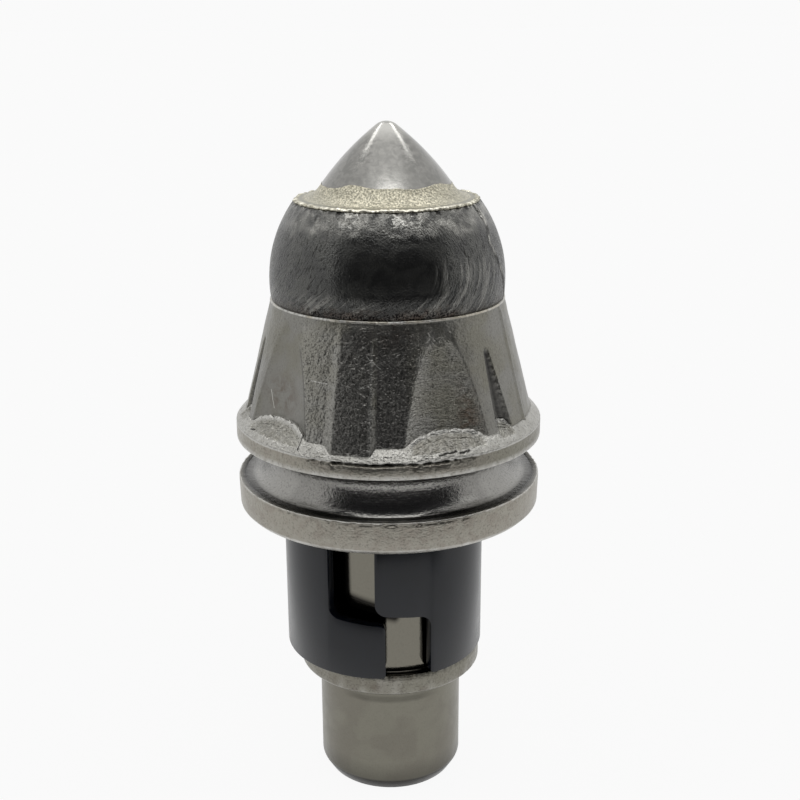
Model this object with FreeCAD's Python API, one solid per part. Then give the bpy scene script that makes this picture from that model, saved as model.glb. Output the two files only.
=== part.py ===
import FreeCAD, Part
import math
import os

# Conical cutting pick, millimetres, standing on its shank end.
# The axis of the pick is Z and the front of the pick faces -Y.
# Azimuths are in degrees from the front, positive towards +X.

# shank and neck
shank_r = 14.9
shank_length = 24.9
shank_chamfer_height = 2.4
shank_chamfer_width = 1.5
shoulder_r = 18.85
shoulder_height = 4.7
shoulder_chamfer = 0.7
neck_r = 17.0
neck_length = 31.3
neck_fillet = 1.6

# collar, puller groove and upper flange
collar_r = 30.5
collar_taper = 0.15
collar_height = 6.6
collar_chamfer = 1.0
groove_width = 8.3
groove_depth = 6.9
flange_r = 30.6
flange_edge_height = 3.3
flange_crown_height = 4.7
flange_crown_bulge = 0.9

# fluted cone
cone_foot_r = 28.4
cone_foot_rise = 2.5
cone_height = 24.3
cone_top_r = 22.9
pattern_azimuth = -13.4
pattern_repeats = 2

# scooped flutes, two in each repeat
flute_offset = 36.4
flute_scoop_r = 25.0
flute_foot_depth = 2.4
flute_foot_rise = 4.0
flute_runout = 3.0

# narrow wedge grooves, two in each repeat
wedge_foot_offset = 64.3
wedge_top_offset = 60.8
wedge_foot_r = 2.3
wedge_top_r = 0.55
wedge_runout = 7.4
wedge_foot_rise = 1.5

# front and back ribs, and the thin parting ridges at the sides
rib_foot_angle = 9.0
rib_crest_angle = 5.7
rib_foot_proud = 1.05
rib_top_proud = 0.15
ridge_offset = 80.0
ridge_foot_angle = 1.5
ridge_crest_angle = 0.5
ridge_proud = 0.3
land_runout = 0.6
land_root = 0.15

# nose, weld deposit and its barrel form
nose_height = 18.7
barrel_bulge_r = 25.4
barrel_max_r = 23.05
barrel_max_rise = 3.5
deposit_thickness = 2.0

# carbide tip and its socket
tip_height = 14.8
tip_r = 12.5
tip_apex_r = 3.2
tip_apex_angle = 43.0
tip_flank_bulge = 0.52
tip_skirt_rise = 3.2
plug_depth = 9.5
plug_chamfer = 1.5
braze_gap = 0.2

# braze ring and fillet on the nose's top face
braze_ring_r = 17.85
braze_rim_height = 0.3
braze_ring_slope = 0.35
braze_fillet_r = 15.4
braze_fillet_bulge = 0.35
braze_edge_width = 0.1
braze_edge_drop = 0.1

# split sleeve
sleeve_r = 20.45
sleeve_wall = 2.0
sleeve_side_shift = 1.15
sleeve_seat_gap = 0.3
sleeve_end_gap = 2.2
slit_upper_left = -32.6
slit_upper_right = -5.0
slit_lower_left = 0.7
slit_lower_right = 27.1
slit_height = 11.3
slit_step_gap = 2.3
slit_slant = 5.5
slit_corner_r = 2.2
slit_end_corner_r = 0.8

# heights that follow from the sizes above
shoulder_top = shank_length + shoulder_height
collar_under = shoulder_top + neck_length
collar_top = collar_under + collar_height
flange_under = collar_top + groove_width
flange_edge = flange_under + flange_edge_height
cone_foot = flange_edge + cone_foot_rise
cone_top = flange_edge + cone_height
nose_top = cone_top + nose_height
barrel_middle = cone_top + barrel_max_rise
barrel_centre_r = barrel_max_r - barrel_bulge_r
tip_skirt = nose_top + tip_skirt_rise
tip_apex = nose_top + tip_height
plug_bottom = nose_top - plug_depth
core_r = cone_top_r / 2

origin = FreeCAD.Vector(0, 0, 0)
up = FreeCAD.Vector(0, 0, 1)


def spot(r, z):
    # a point of a turned outline, in the XZ plane
    return FreeCAD.Vector(r, 0, z)


def around(r, azimuth, z):
    # a point at an azimuth from the front
    angle = math.radians(azimuth)
    return FreeCAD.Vector(r * math.sin(angle), -r * math.cos(angle), z)


def bulged(start, end, bulge):
    # the middle of an arc that stands off its chord, to the left when going from start to end
    run = end - start
    side = FreeCAD.Vector(-run.z, 0, run.x)
    side.normalize()
    return (start + end) * 0.5 + side * bulge


def outline(start, steps):
    # a closed face of straight lines (one point) and arcs (two points)
    edges = []
    at = start
    for step in steps:
        if len(step) == 1:
            edges.append(Part.LineSegment(at, step[0]).toShape())
        else:
            edges.append(Part.Arc(at, step[0], step[1]).toShape())
        at = step[-1]
    edges.append(Part.LineSegment(at, start).toShape())
    return Part.Face(Part.Wire(edges))


def turned(face, first=90.0, last=450.0):
    # a face of the XZ plane, swept about the axis between two azimuths, or all the way round
    start = face.copy()
    start.rotate(origin, up, first - 90.0)
    return start.revolve(origin, up, last - first)


def barrel_r(thickness, z):
    # radius of the barrel form, less a thickness, at a height
    bulge = barrel_bulge_r - thickness
    return barrel_centre_r + math.sqrt(bulge ** 2 - (z - barrel_middle) ** 2)


def barrel_arc(thickness, first, last):
    # the barrel's arc between two heights, as the two points that outline() takes
    middle = (first + last) / 2
    return [spot(barrel_r(thickness, middle), middle), spot(barrel_r(thickness, last), last)]


def cone_r(z):
    # radius of the plain cone between its flutes
    slope = (cone_foot_r - cone_top_r) / (cone_top - cone_foot)
    return cone_foot_r - slope * (z - cone_foot)


def turned_blank():
    # everything that is turned: shank, shoulder, neck, collar, groove, flange and its crown
    groove_r = groove_width / 2
    groove_mouth = collar_r - groove_depth + groove_r
    collar_edge_r = collar_r - collar_taper
    flange_corner = spot(flange_r, flange_edge)
    crown = spot(cone_top_r, flange_edge + flange_crown_height)
    neck_corner = spot(neck_r + neck_fillet, collar_under)
    neck_end = spot(neck_r, collar_under - neck_fillet)
    inset = neck_fillet * (1 - math.sqrt(0.5))
    neck_fillet_middle = spot(neck_r + inset, collar_under - inset)
    face = outline(origin, [
        [spot(shank_r - shank_chamfer_width, 0)],
        [spot(shank_r, shank_chamfer_height)],
        [spot(shank_r, shank_length)],
        [spot(shoulder_r - shoulder_chamfer, shank_length)],
        [spot(shoulder_r, shank_length + shoulder_chamfer)],
        [spot(shoulder_r, shoulder_top)],
        [spot(neck_r, shoulder_top)],
        [neck_end],
        [neck_fillet_middle, neck_corner],
        [spot(collar_edge_r - collar_chamfer, collar_under)],
        [spot(collar_edge_r, collar_under + collar_chamfer)],
        [spot(collar_r, collar_top)],
        [spot(groove_mouth, collar_top)],
        [spot(collar_r - groove_depth, collar_top + groove_r), spot(groove_mouth, flange_under)],
        [spot(flange_r, flange_under)],
        [flange_corner],
        [bulged(flange_corner, crown, -flange_crown_bulge), crown],
        [spot(0, crown.z)],
    ])
    return turned(face)


def flute_cutters():
    # broad round scoops, deep at the foot and running out below the top of the cone
    foot = flange_edge + flute_foot_rise
    end = cone_top - flute_runout
    foot_axis = cone_r(foot) - flute_foot_depth + flute_scoop_r
    end_axis = cone_r(end) + flute_scoop_r
    cutters = []
    for side in (-1, 1):
        low = around(foot_axis, side * flute_offset, foot)
        high = around(end_axis, side * flute_offset, end)
        along = high - low
        cutters.append(Part.makeCylinder(flute_scoop_r, 3 * along.Length, low - along, along))
    return cutters


def wedge_cutters():
    # narrow round-bottomed grooves that widen towards the foot
    foot = flange_edge + wedge_foot_rise
    end = cone_top - wedge_runout
    cutters = []
    for side in (-1, 1):
        low = around(cone_r(foot), side * wedge_foot_offset, foot)
        high = around(cone_r(end), side * wedge_top_offset, end)
        along = high - low
        cutters.append(Part.makeCone(wedge_foot_r, wedge_top_r, along.Length, low, along))
        cutters.append(Part.makeSphere(wedge_top_r, high))
    return cutters


def land(azimuth, foot_angle, crest_angle, foot_proud, top_proud):
    # a land with sloped sides that stands out of the cone along its whole height
    top = cone_top - land_runout
    sections = []
    for z, proud in ((flange_edge, foot_proud), (top, top_proud)):
        root_r = cone_r(z) - land_root
        crest_r = cone_r(z) + proud
        corners = [
            around(core_r, azimuth - foot_angle, z),
            around(root_r, azimuth - foot_angle, z),
            around(crest_r, azimuth - crest_angle, z),
            around(crest_r, azimuth + crest_angle, z),
            around(root_r, azimuth + foot_angle, z),
            around(core_r, azimuth + foot_angle, z),
        ]
        sections.append(Part.makePolygon(corners + corners[:1]))
    return Part.makeLoft(sections, True, True)


def fluted_cone():
    # the forged cone, its cuts and its lands, repeated round the axis
    face = outline(spot(0, flange_edge), [
        [spot(cone_r(flange_edge), flange_edge)],
        [spot(cone_top_r, cone_top)],
        [spot(0, cone_top)],
    ])
    cone = turned(face)
    cutters = []
    lands = []
    for repeat in range(pattern_repeats):
        turn = pattern_azimuth + repeat * 360.0 / pattern_repeats
        for cutter in flute_cutters() + wedge_cutters():
            cutter.rotate(origin, up, turn)
            cutters.append(cutter)
        lands.append(land(turn, rib_foot_angle, rib_crest_angle, rib_foot_proud, rib_top_proud))
        lands.append(land(turn + ridge_offset, ridge_foot_angle, ridge_crest_angle, ridge_proud, ridge_proud))
    return cone.fuse(lands).cut(cutters)


def nose():
    # the nose under the weld deposit
    inside_cone = cone_top - cone_height / 2
    face = outline(spot(0, inside_cone), [
        [spot(barrel_r(deposit_thickness, cone_top), inside_cone)],
        [spot(barrel_r(deposit_thickness, cone_top), cone_top)],
        barrel_arc(deposit_thickness, cone_top, nose_top),
        [spot(0, nose_top)],
    ])
    return turned(face)


def plug_shape(extra, top):
    # the tip's plug up to a height, grown all round by an extra such as the braze gap
    r = tip_r + extra
    bottom = plug_bottom - extra
    face = outline(spot(0, bottom), [
        [spot(r - plug_chamfer, bottom)],
        [spot(r, bottom + plug_chamfer)],
        [spot(r, top)],
        [spot(0, top)],
    ])
    return turned(face)


def forged_body():
    solid = turned_blank().fuse([fluted_cone(), nose()])
    return solid.cut(plug_shape(braze_gap, tip_skirt)).removeSplitter()


def carbide_tip():
    angle = math.radians(tip_apex_angle)
    apex = spot(0, tip_apex)
    half = spot(tip_apex_r * math.sin(angle / 2), tip_apex - tip_apex_r * (1 - math.cos(angle / 2)))
    flank_top = spot(tip_apex_r * math.sin(angle), tip_apex - tip_apex_r * (1 - math.cos(angle)))
    skirt = spot(tip_r, tip_skirt)
    face = outline(spot(0, plug_bottom), [
        [spot(tip_r - plug_chamfer, plug_bottom)],
        [spot(tip_r, plug_bottom + plug_chamfer)],
        [skirt],
        [bulged(skirt, flank_top, -tip_flank_bulge), flank_top],
        [half, apex],
    ])
    return turned(face)


def braze_joint():
    # the thin cup round the plug, the ring on the top face and the fillet up to the tip
    rim = spot(braze_ring_r, nose_top + braze_rim_height)
    fillet_foot = spot(braze_fillet_r, rim.z + braze_ring_slope)
    fillet_top = spot(tip_r + braze_edge_width, tip_skirt - braze_edge_drop)
    ring = turned(outline(spot(0, nose_top), [
        [spot(braze_ring_r, nose_top)],
        [rim],
        [fillet_foot],
        [bulged(fillet_foot, fillet_top, braze_fillet_bulge), fillet_top],
        [spot(0, fillet_top.z)],
    ]))
    cup = plug_shape(braze_gap, nose_top)
    return cup.fuse(ring).cut(plug_shape(0.0, tip_skirt)).removeSplitter()


def hardfacing_band():
    face = outline(spot(barrel_r(0.0, cone_top), cone_top), [
        barrel_arc(0.0, cone_top, nose_top),
        [spot(barrel_r(deposit_thickness, nose_top), nose_top)],
        barrel_arc(deposit_thickness, nose_top, cone_top),
    ])
    return turned(face)


def sleeve_section(first, last, low, high):
    # a part of the sleeve's wall between two azimuths and two heights
    inner = sleeve_r - sleeve_wall
    face = outline(spot(inner, low), [[spot(sleeve_r, low)], [spot(sleeve_r, high)], [spot(inner, high)]])
    return turned(face, first, last)


def above_slant(height):
    # everything above the slit's middle, which falls towards +X
    size = 4 * (sleeve_r + neck_length)
    block = Part.makeBox(size, size, size, FreeCAD.Vector(-size / 2, -size / 2, 0))
    block.rotate(origin, FreeCAD.Vector(0, 1, 0), slit_slant)
    block.translate(up * height)
    return block


def corner_edge(solid, azimuth, height, slant=0.0):
    # the edge that runs through the wall at a corner of the slit
    place = around(sleeve_r - sleeve_wall / 2, azimuth, height)
    place.z -= place.x * math.tan(math.radians(slant))
    return min(solid.Edges, key=lambda edge: (edge.CenterOfMass - place).Length)


def retainer_sleeve():
    bottom = shoulder_top + sleeve_seat_gap
    top = collar_under - sleeve_end_gap
    tab_top = bottom + slit_height
    tab_bottom = tab_top + slit_step_gap
    back = sleeve_section(slit_lower_right, slit_upper_left + 360, bottom, top)
    lower_tab = sleeve_section(slit_upper_left, slit_lower_left, bottom, top).cut(above_slant(tab_top))
    upper_tab = sleeve_section(slit_upper_right, slit_lower_right, bottom, top)
    upper_tab = upper_tab.common(above_slant(tab_bottom))
    sleeve = back.fuse([lower_tab, upper_tab]).removeSplitter()
    inner_corners = [
        (slit_upper_left, tab_top, slit_slant),
        (slit_upper_right, tab_bottom, slit_slant),
        (slit_lower_right, tab_bottom, slit_slant),
    ]
    end_corners = [
        (slit_upper_left, top),
        (slit_upper_right, top),
        (slit_lower_left, tab_top, slit_slant),
        (slit_lower_left, bottom),
        (slit_lower_right, bottom),
    ]
    for radius, corners in ((slit_corner_r, inner_corners), (slit_end_corner_r, end_corners)):
        sleeve = sleeve.makeFillet(radius, [corner_edge(sleeve, *corner) for corner in corners])
    sleeve.translate(FreeCAD.Vector(-sleeve_side_shift, 0, 0))
    return sleeve


parts = {
    "forged_body": forged_body(),
    "carbide_tip": carbide_tip(),
    "braze_joint": braze_joint(),
    "hardfacing_band": hardfacing_band(),
    "retainer_sleeve": retainer_sleeve(),
}
os.makedirs("parts", exist_ok=True)
for name, shape in parts.items():
    shape.exportStep(f"parts/{name}.step")
    print(name, shape.isValid(), len(shape.Solids), round(shape.Volume, 1))
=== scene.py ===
import math

import bmesh
import bpy
from mathutils import Matrix, Vector, noise


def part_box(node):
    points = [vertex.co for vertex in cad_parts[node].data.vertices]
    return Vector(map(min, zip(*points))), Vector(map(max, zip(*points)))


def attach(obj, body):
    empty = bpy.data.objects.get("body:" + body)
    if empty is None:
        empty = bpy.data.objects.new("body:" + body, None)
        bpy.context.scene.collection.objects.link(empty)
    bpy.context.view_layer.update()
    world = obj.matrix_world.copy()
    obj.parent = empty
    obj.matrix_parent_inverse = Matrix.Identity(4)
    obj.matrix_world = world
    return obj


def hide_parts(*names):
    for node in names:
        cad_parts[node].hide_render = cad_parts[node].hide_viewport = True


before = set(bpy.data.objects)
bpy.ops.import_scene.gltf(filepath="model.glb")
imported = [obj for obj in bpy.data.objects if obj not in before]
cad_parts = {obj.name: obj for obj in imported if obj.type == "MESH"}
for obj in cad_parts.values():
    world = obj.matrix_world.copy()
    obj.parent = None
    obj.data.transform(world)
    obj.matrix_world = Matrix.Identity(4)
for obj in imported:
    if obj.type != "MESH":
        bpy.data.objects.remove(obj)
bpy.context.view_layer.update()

# Conical cutting pick. Values are in millimetres and degrees, and mm turns them into metres.
# Azimuths are counted from the front, which faces -Y, and grow towards +X.
mm = 0.001
slack = 0.01  # how far off its line a row may lie
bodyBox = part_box("forged_body")
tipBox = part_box("carbide_tip")
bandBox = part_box("hardfacing_band")
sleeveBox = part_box("retainer_sleeve")
flangeR = bodyBox[1].x / mm
coneTop = bandBox[0].z / mm
noseTop = bandBox[1].z / mm
barrelMaxR = bandBox[1].x / mm
tipR = tipBox[1].x / mm
tipTop = tipBox[1].z / mm
plugBottom = tipBox[0].z / mm

# sizes that several pieces share
shared = {
    "coneTopR": 22.9,
    "barrelRise": 3.5, "barrelBulgeR": 25.4, "bandThick": 2.0,
    "plugChamfer": 1.5, "skirtRise": 3.2, "socketGap": 0.2,
}
coneTopR = shared["coneTopR"]
bandThick = shared["bandThick"]
plugChamfer = shared["plugChamfer"]
socketGap = shared["socketGap"]
tipSkirt = noseTop + shared["skirtRise"]


def blend(start, end, share):
    return start + (end - start) * share


def smooth(low, high, value):
    # 0 at low, 1 at high, and soft between them
    t = min(1.0, max(0.0, (value - low) / (high - low)))
    return t * t * (3 - 2 * t)


def window(low, full, still, out, value):
    # rises from low to full, stays, and falls from still to out
    return smooth(low, full, value) * smooth(out, still, value)


def bump(centre, width, value):
    # a soft hill of height 1
    return math.exp(-((value - centre) / width) ** 2)


def softLeast(a, b, width):
    # the smaller of two values, with a rounded change from one to the other
    mix = min(1.0, max(0.0, 0.5 + 0.5 * (b - a) / width))
    return b + (a - b) * mix - width * mix * (1 - mix)


def nearest(azimuth, centre):
    # how far an azimuth is from a centre, from -180 to 180
    return (azimuth - centre + 180) % 360 - 180


def hills(places, azimuth):
    # soft hills round the pick, each given as azimuth, width and height
    return sum(height * bump(0, width, nearest(azimuth, at)) for at, width, height in places)


def rough(x, y, z, size):
    # smooth noise between -1 and 1 with features of a size
    return noise.noise(Vector((x, y, z)) / size)


def roughAt(azimuth, radius, height, size):
    # the same noise at a place on the pick, without a seam at the back
    angle = math.radians(azimuth)
    return rough(radius * math.sin(angle), radius * math.cos(angle), height, size)


def along(points, value):
    # a value that follows straight runs between (place, value) points
    for (p0, v0), (p1, v1) in zip(points, points[1:]):
        if value <= p1:
            return blend(v0, v1, max(0.0, (value - p0) / (p1 - p0)))
    return points[-1][1]


# Turned shapes: an outline is drawn in the XZ plane and spun about the axis


def vertsOf(items):
    return [item for item in items if isinstance(item, bmesh.types.BMVert)]


def roundOff(bm, items, size, segments, kind):
    bmesh.ops.bevel(bm, geom=items, offset=size * mm, offset_type="OFFSET", segments=segments,
                    profile=0.5, affect=kind, material=-1, clamp_overlap=kind == "EDGES")


def drawOutline(radius, height, steps):
    # A step is radius, height, and where it needs them parts, bulge and softness. A bulge bows the
    # run to the left of its direction, and softness rounds the corner at its end.
    bm = bmesh.new()
    pen = bm.verts.new((radius * mm, 0, height * mm))
    softCorners = []
    for radius, height, *more in steps:
        parts, bulge, softness = more + [1, 0, 0][len(more):]
        begin = pen.co.copy()
        end = Vector((radius * mm, 0, height * mm))
        run = end - begin
        if bulge:
            rise = bulge * mm
            bend = (run.length ** 2 / 4 + rise ** 2) / (2 * rise)
            left = Vector((-run.z, 0, run.x)).normalized()
            centre = (begin + end) / 2 + left * (rise - bend)
            turn = 4 * math.atan(2 * rise / run.length)
            made = bmesh.ops.spin(bm, geom=[pen], cent=centre, axis=(0, 1, 0), angle=turn, steps=parts)
            pen = vertsOf(made["geom_last"])[0]
        else:
            for part in range(parts):
                pen = bmesh.ops.extrude_vert_indiv(bm, verts=[pen])["verts"][0]
                pen.co = begin.lerp(end, (part + 1) / parts)
        if softness:
            softCorners.append((pen, softness))
    for corner, softness in softCorners:
        roundOff(bm, [corner], softness, 2, "VERTICES")
    return bm


def spinOutline(bm, steps):
    # spins one twelfth of the turn and then copies it round
    sectors = 12
    part = 2 * math.pi / sectors
    about = {"cent": (0, 0, 0), "axis": (0, 0, 1)}
    bmesh.ops.remove_doubles(bm, verts=bm.verts[:], dist=1e-6)
    bmesh.ops.spin(bm, geom=bm.verts[:] + bm.edges[:], angle=part, steps=steps, **about)
    bmesh.ops.spin(bm, geom=bm.verts[:] + bm.edges[:] + bm.faces[:], angle=2 * math.pi - part,
                   steps=sectors - 1, use_duplicate=True, **about)
    bmesh.ops.remove_doubles(bm, verts=bm.verts[:], dist=1e-6)
    bmesh.ops.recalc_face_normals(bm, faces=bm.faces[:])


def placeOf(vert):
    # a vertex as azimuth, radius and height
    radius = math.hypot(vert.co.x, vert.co.y) / mm
    return math.degrees(math.atan2(vert.co.x, -vert.co.y)), radius, vert.co.z / mm


def shapeVerts(bm, names, shape):
    # shape fills in a vertex's marks and gives its new radius and height, or None to leave it there
    layers = {name: bm.verts.layers.float.new(name) for name in names}
    for vert in bm.verts:
        azimuth, radius, height = placeOf(vert)
        marks = {}
        moved = shape(azimuth, radius, height, marks)
        for name, value in marks.items():
            vert[layers[name]] = value
        if moved:
            angle = math.radians(azimuth)
            vert.co = Vector((moved[0] * math.sin(angle), -moved[0] * math.cos(angle), moved[1])) * mm


def linkMesh(bm, name, material):
    mesh = bpy.data.meshes.new(name)
    bm.to_mesh(mesh)
    bm.free()
    mesh.materials.append(material)
    piece = bpy.data.objects.new(name, mesh)
    bpy.context.scene.collection.objects.link(piece)
    return piece


def finishPiece(bm, name, material, body, node):
    piece = linkMesh(bm, name, material)
    for polygon in piece.data.polygons:
        polygon.use_smooth = True
    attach(piece, body)
    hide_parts(node)
    print(name, "faces:", len(piece.data.polygons))


def finishTurned(bm, size, look, shape, name, material, node):
    spinOutline(bm, size["steps"])
    shapeVerts(bm, look["marks"], shape)
    finishPiece(bm, name, material, "pick", node)


# Node helpers: each adds a node to the tree of the socket that it is given


def setInputs(node, inputs):
    for name, value in inputs.items():
        if isinstance(value, bpy.types.NodeSocket):
            node.id_data.links.new(value, node.inputs[name])
        else:
            node.inputs[name].default_value = value


def addNode(tree, kind, inputs, output=0, **settings):
    node = tree.nodes.new(kind)
    for name, value in settings.items():
        setattr(node, name, value)
    setInputs(node, inputs)
    return node.outputs[output]


def addMath(operation, value, *others):
    # the operation on all the values in turn
    for other in others:
        value = addNode(value.id_data, "ShaderNodeMath", {0: value, 1: other}, operation=operation)
    return value


def multiply(*values):
    return addMath("MULTIPLY", *values)


def mostOf(*values):
    return addMath("MAXIMUM", *values)


def addVector(operation, first, second=(0, 0, 0)):
    output = 1 if operation in ("DOT_PRODUCT", "LENGTH") else 0
    inputs = {0: first, 1: second}
    return addNode(first.id_data, "ShaderNodeVectorMath", inputs, output, operation=operation)


def step(value, low, high):
    # a soft step from 0 to 1 while the value goes from low to high
    inputs = {"Value": value, "From Min": low, "From Max": high}
    return addNode(value.id_data, "ShaderNodeMapRange", inputs, interpolation_type="SMOOTHSTEP")


def mixValue(mask, first, second):
    return addNode(mask.id_data, "ShaderNodeMix", {0: mask, 2: first, 3: second}, data_type="FLOAT")


def mixColour(mask, first, second):
    return addNode(mask.id_data, "ShaderNodeMix", {0: mask, 6: first, 7: second}, 2, data_type="RGBA")


def paintOver(colour, *coats):
    # colours laid over each other, each where its mask is
    for mask, coat in coats:
        colour = mixColour(mask, colour, coat)
    return colour


def addNoise(place, scale, detail=2.0, distortion=0.0):
    inputs = {"Vector": place, "Scale": scale, "Detail": detail, "Distortion": distortion}
    return addNode(place.id_data, "ShaderNodeTexNoise", inputs)


def stretch(place, scale):
    return addNode(place.id_data, "ShaderNodeMapping", {"Vector": place, "Scale": scale})


def splitVector(vector):
    return addNode(vector.id_data, "ShaderNodeSeparateXYZ", {0: vector}).node.outputs


def joinVector(x, y, z=0.0):
    return addNode(x.id_data, "ShaderNodeCombineXYZ", {0: x, 1: y, 2: z})


def startGroup(name, inputs, outputs):
    group = bpy.data.node_groups.new(name, "ShaderNodeTree")
    for socket, kind in inputs.items():
        group.interface.new_socket(name=socket, in_out="INPUT", socket_type="NodeSocket" + kind)
    for socket in outputs:
        group.interface.new_socket(name=socket, in_out="OUTPUT", socket_type="NodeSocketFloat")
    return group, group.nodes.new("NodeGroupInput").outputs, group.nodes.new("NodeGroupOutput")


def placeGroup(group, inputs):
    return addNode(inputs["Vector"].id_data, "ShaderNodeGroup", inputs, node_tree=group).node.outputs


def makeGrainGroup():
    # blasted or sintered grain: fine speckle, coarse mottling and the height that goes with them
    sockets = {"Vector": "Vector", "Fine": "Float", "Coarse": "Float"}
    group, given, end = startGroup("grain", sockets, ["Speckle", "Mottle", "Height"])
    fine = addNoise(given["Vector"], given["Fine"], 3.0)
    coarse = addNoise(given["Vector"], given["Coarse"], 2.0, 0.6)
    setInputs(end, {"Speckle": step(fine, 0.33, 0.67), "Mottle": step(coarse, 0.3, 0.7),
                    "Height": addMath("ADD", fine, coarse)})
    return group


def makeTurningGroup():
    # rings left by a lathe tool, on cylinders and on end faces alike
    group, given, end = startGroup("turningRings", {"Vector": "Vector", "Pitch": "Float"}, ["Rings"])
    x, y, z = splitVector(given["Vector"])
    radius = addVector("LENGTH", joinVector(x, y))
    setInputs(end, {"Rings": addNoise(joinVector(radius, 0.0, z), given["Pitch"], 3.0)})
    return group


def makeStrokeGroup():
    # a single scratch, crack or speck between two places, given as azimuth and height
    sockets = {"Vector": "Vector", "From": "Vector", "To": "Vector", "Width": "Float", "Waver": "Float"}
    group, given, end = startGroup("stroke", sockets, ["Stroke"])
    arcR = 26.0  # where the pick's skin lies on average
    x, y, z = splitVector(given["Vector"])
    arc = multiply(addMath("ARCTAN2", x, multiply(y, -1.0)), arcR)
    waver = addMath("SUBTRACT", addNoise(given["Vector"], 900.0), 0.5)
    height = addMath("ADD", multiply(z, 1 / mm), multiply(waver, given["Waver"]))
    degrees = (math.radians(arcR), 1, 1)
    begin = addVector("MULTIPLY", given["From"], degrees)
    run = addVector("SUBTRACT", addVector("MULTIPLY", given["To"], degrees), begin)
    reach = addVector("SUBTRACT", joinVector(arc, height), begin)
    share = addMath("DIVIDE", addVector("DOT_PRODUCT", reach, run), addVector("DOT_PRODUCT", run, run))
    held = addNode(group, "ShaderNodeClamp", {0: share})
    reached = addNode(group, "ShaderNodeVectorMath", {0: run, "Scale": held}, operation="SCALE")
    distance = addVector("LENGTH", addVector("SUBTRACT", reach, reached))
    setInputs(end, {"Stroke": step(distance, given["Width"], 0.0)})
    return group


grainGroup = makeGrainGroup()
turningGroup = makeTurningGroup()
strokeGroup = makeStrokeGroup()


def addStrokes(place, strokes):
    # a list of strokes as one mask
    made = []
    for azimuth, height, toAzimuth, toHeight, width, waver in strokes:
        inputs = {"Vector": place, "From": (azimuth, height, 0), "To": (toAzimuth, toHeight, 0),
                  "Width": width, "Waver": waver}
        made.append(placeGroup(strokeGroup, inputs)["Stroke"])
    return mostOf(*made)


def startMaterial(name, look):
    # a new material, its place on the pick, its grain and the marks that its piece carries
    material = bpy.data.materials.new(name)
    material.use_nodes = True
    tree = material.node_tree
    place = addNode(tree, "ShaderNodeTexCoord", {}, "Object")
    fine, coarse = look["grain"]
    grain = placeGroup(grainGroup, {"Vector": place, "Fine": fine, "Coarse": coarse})
    marks = {mark: addNode(tree, "ShaderNodeAttribute", {}, "Fac", attribute_name=mark)
             for mark in look["marks"]}
    return material, place, grain, marks


def endMaterial(material, colour, roughness, bumps, **constants):
    # bumps lie on each other, each given as height, strength and distance in metres
    shader = material.node_tree.nodes["Principled BSDF"]
    inputs = {}
    for height, strength, distance in bumps:
        inputs.update({"Height": height, "Strength": strength, "Distance": distance})
        inputs["Normal"] = addNode(material.node_tree, "ShaderNodeBump", inputs)
    setInputs(shader, {"Base Color": colour, "Roughness": roughness, "Normal": inputs["Normal"], **constants})
    return material


forgedFinish = {
    "marks": ("forged", "shade", "bright", "brass", "rust", "side", "satin", "cove", "grain", "hammered",
              "crevice", "fromRim", "pad", "lean"),
    "turned": (0.198, 0.190, 0.157, 1),
    "clouded": (0.180, 0.170, 0.142, 1),
    "neck": (0.172, 0.163, 0.136, 1),
    "cove": (0.182, 0.177, 0.167, 1),
    "beige": (0.298, 0.283, 0.244, 1),
    "brown": (0.262, 0.240, 0.206, 1),
    "forged": (0.188, 0.184, 0.168, 1),
    "olive": (0.172, 0.166, 0.140, 1),
    # colour of the painted shade on the cone
    "scale": (0.112, 0.109, 0.102, 1),
    # colour of painted light and painted highlights, and of bright scratches and pinpoints
    "bright": (0.470, 0.463, 0.437, 1),
    "rust": (0.110, 0.088, 0.070, 1),
    "brass": (0.42, 0.37, 0.27, 1),
    # colour of dark pores and of painted shade
    "pitAndShade": (0.012, 0.011, 0.010, 1),
    "roughness": (0.32, 0.38), "coveRoughness": 0.25, "neckRoughness": 0.13,
    "grain": (2700.0, 420.0), "clouds": 130.0, "blots": 520.0, "pebbles": 1150.0, "dents": 1000.0,
    "ringPitch": 3200.0, "wrinkles": 9.0, "wander": 800.0, "wanderDepth": 8.0,
    # strokes: from azimuth, from height, to azimuth, to height, width, waver
    "scratches": [(-33.6, 92.1, -25.5, 92.0, 0.17, 0.1), (-10.9, 91.9, -9.5, 92.1, 0.26, 0.0),
                  (-7.8, 92.4, -7.2, 92.4, 0.25, 0.0), (-10.7, 99.0, -10.4, 98.9, 0.26, 0.0),
                  (-8.5, 97.2, -3.0, 95.2, 0.12, 0.8), (-60.0, 88.0, -57.5, 84.5, 0.12, 0.6)],
    "cracks": [(17.9, 79.85, 24.6, 80.15, 0.24, 0.7), (25.8, 79.85, 29.6, 79.95, 0.22, 0.7),
               (-34.6, 82.4, -33.9, 79.9, 0.16, 0.3), (-63.0, 80.2, -60.5, 80.3, 0.14, 0.3)],
    # painted shade on the neck beside the sleeve's slit
    "neckShade": [(-44.0, 45.6, 3.0, 42.4, 2.6, 0.0), (-31.5, 60.0, -30.5, 44.0, 2.4, 0.0),
                  (23.0, 41.5, 26.0, 30.0, 1.4, 0.0)],
}


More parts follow.
